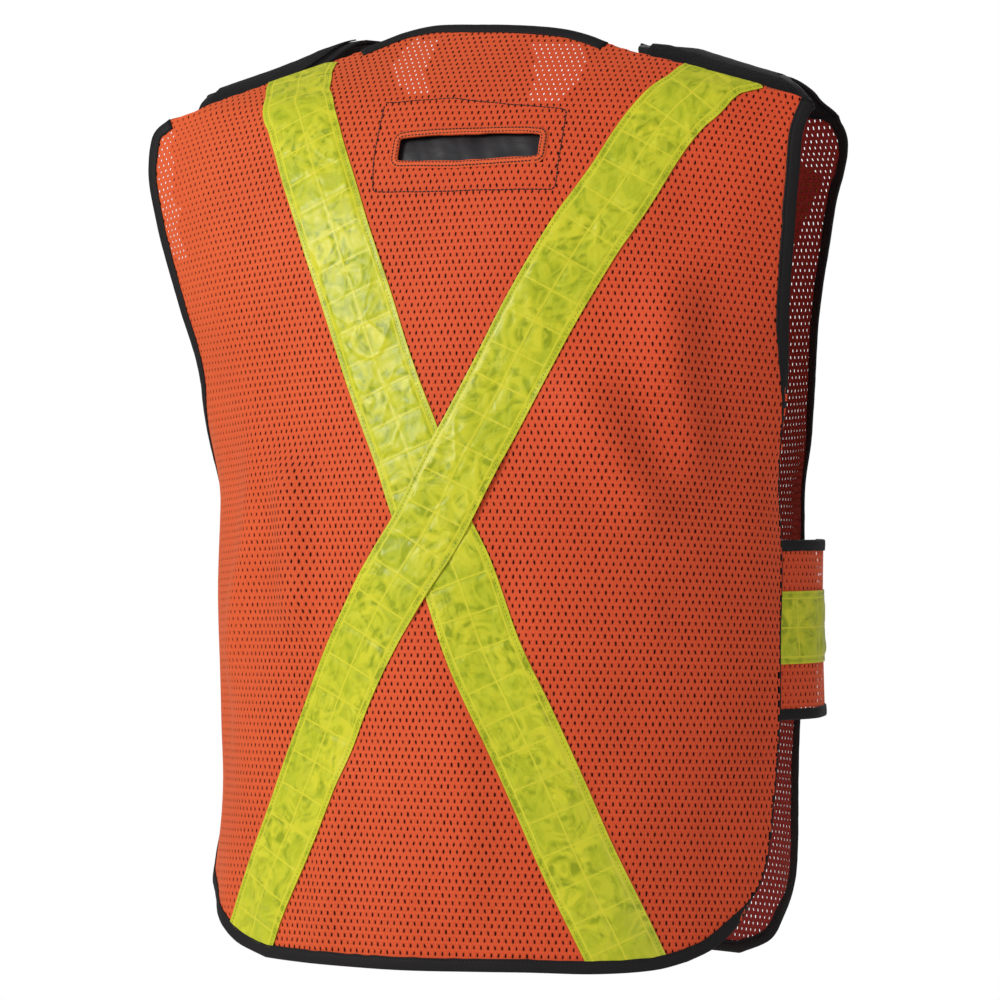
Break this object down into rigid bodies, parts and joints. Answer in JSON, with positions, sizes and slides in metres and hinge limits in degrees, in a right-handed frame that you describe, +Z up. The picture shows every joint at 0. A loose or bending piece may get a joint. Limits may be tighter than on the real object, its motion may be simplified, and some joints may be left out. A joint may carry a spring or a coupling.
{
  "type": "high visibility vest",
  "caption": "Sleeveless orange mesh safety vest with black edge binding, crossed reflective tape on the back, a harness slot, side straps and breakaway hook-and-loop fastenings.",
  "frame": {"origin": "between the shoulders, level with the outer ends of the shoulder seams, where the wearer's shoulders carry the vest", "axes": "+Z up along the wearer's spine, the front of the vest faces -Y, +X is the wearer's left"},
  "size_m": [0.5037, 0.3463, 0.6805],
  "materials": {
    "orange_mesh": "knitted mesh",
    "edge_binding": "woven tape",
    "reflective_tape": "gloss prismatic",
    "hook_and_loop": "brushed",
    "black_nylon": "smooth woven"
  },
  "bodies": {
    "back": {"back_edge_binding": "edge_binding", "back_neck_binding": "edge_binding", "back_panel": "orange_mesh", "back_tape_over": "reflective_tape", "back_tape_under": "reflective_tape", "shoulder_hook_left": "hook_and_loop", "shoulder_hook_right": "hook_and_loop", "slot_facing": "black_nylon", "slot_welt": "orange_mesh"},
    "slot_flap": {"slot_flap": "black_nylon"},
    "front_left": {"front_chest_tape_left": "reflective_tape", "front_closure_hook": "hook_and_loop", "front_edge_binding_left": "edge_binding", "front_low_tape_left": "reflective_tape", "front_panel_left": "orange_mesh", "front_waist_tape_left": "reflective_tape", "shoulder_loop_left": "hook_and_loop", "side_loop_left": "hook_and_loop", "side_strap_bottom_binding_left": "edge_binding", "side_strap_left": "orange_mesh", "side_strap_tape_left": "reflective_tape", "side_strap_top_binding_left": "edge_binding"},
    "front_right": {"front_chest_tape_right": "reflective_tape", "front_closure_loop": "hook_and_loop", "front_edge_binding_right": "edge_binding", "front_low_tape_right": "reflective_tape", "front_panel_right": "orange_mesh", "front_waist_tape_right": "reflective_tape", "shoulder_loop_right": "hook_and_loop", "side_loop_right": "hook_and_loop", "side_strap_bottom_binding_right": "edge_binding", "side_strap_right": "orange_mesh", "side_strap_tape_right": "reflective_tape", "side_strap_top_binding_right": "edge_binding"},
    "side_tab_left": {"side_tab_left": "black_nylon", "side_hook_left": "hook_and_loop"},
    "side_tab_right": {"side_tab_right": "black_nylon", "side_hook_right": "hook_and_loop"}
  },
  "joints": [
    {"name": "front_left_swing", "type": "hinge", "parent": "back", "child": "front_left", "pos_m": [0.2215, 0.014, -0.387], "axis": [0.105, -0.026, 0.9941], "range_deg": [0, 75]},
    {"name": "front_right_swing", "type": "hinge", "parent": "back", "child": "front_right", "pos_m": [-0.217, 0.04, -0.387], "axis": [0.106, 0.083, -0.9909], "range_deg": [0, 75]},
    {"name": "side_tab_left_peel", "type": "hinge", "parent": "front_left", "child": "side_tab_left", "pos_m": [0.2113, -0.0573, -0.386], "axis": [0, 0, 1], "range_deg": [0, 100]},
    {"name": "side_tab_right_peel", "type": "hinge", "parent": "front_right", "child": "side_tab_right", "pos_m": [-0.2119, -0.0577, -0.386], "axis": [0, 0, -1], "range_deg": [0, 100]},
    {"name": "slot_flap_push", "type": "hinge", "parent": "back", "child": "slot_flap", "pos_m": [-0.005, 0.0905, -0.0231], "axis": [-1, 0, 0], "range_deg": [0, 55]}
  ],
  "couplings": [
    {"joint": "front_right_swing", "follows": "front_left_swing", "ratio": 1}
  ]
}
